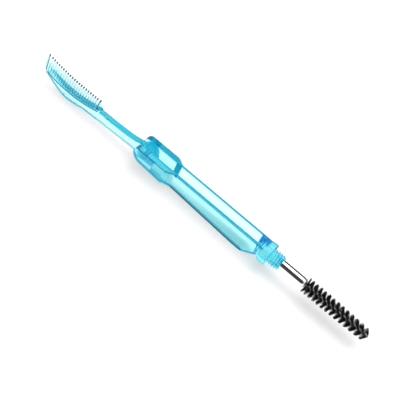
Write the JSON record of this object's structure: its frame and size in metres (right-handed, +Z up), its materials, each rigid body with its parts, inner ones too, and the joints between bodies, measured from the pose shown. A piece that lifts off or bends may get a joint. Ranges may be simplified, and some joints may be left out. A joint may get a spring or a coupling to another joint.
{
  "type": "eyebrow brush",
  "caption": "Slim clear-blue eyebrow tool: a comb that folds on a hinge into a channelled handle, with a tapered spiral brush on a metal tube in the threaded neck.",
  "frame": {"origin": "middle of the bounding box along X and Y, on the surface that the belly and the comb's spine rest on", "axes": "+X along the length towards the spiral brush, +Y across the handle along the hinge axis, +Z up, the way the channel opens and the teeth point"},
  "size_m": [0.1518, 0.0088, 0.0133],
  "materials": {
    "clear_blue_handle": "clear cyan-blue moulded plastic, polished",
    "clear_blue_comb": "clear cyan-blue moulded plastic, polished",
    "polished_tube": "mirror-polished plated metal",
    "twisted_wire": "drawn steel wire",
    "black_bristle": "black nylon filament"
  },
  "bodies": {
    "grip": {"handle": "clear_blue_handle", "stem_tube": "polished_tube", "wire_core": "twisted_wire", "bristles": "black_bristle"},
    "folding_comb": {"comb": "clear_blue_comb"}
  },
  "joints": [
    {"name": "comb_fold", "type": "hinge", "parent": "grip", "child": "folding_comb", "pos_m": [-0.02432, 0, 0.0073], "axis": [0, 1, 0], "range_deg": [0, 177]}
  ]
}
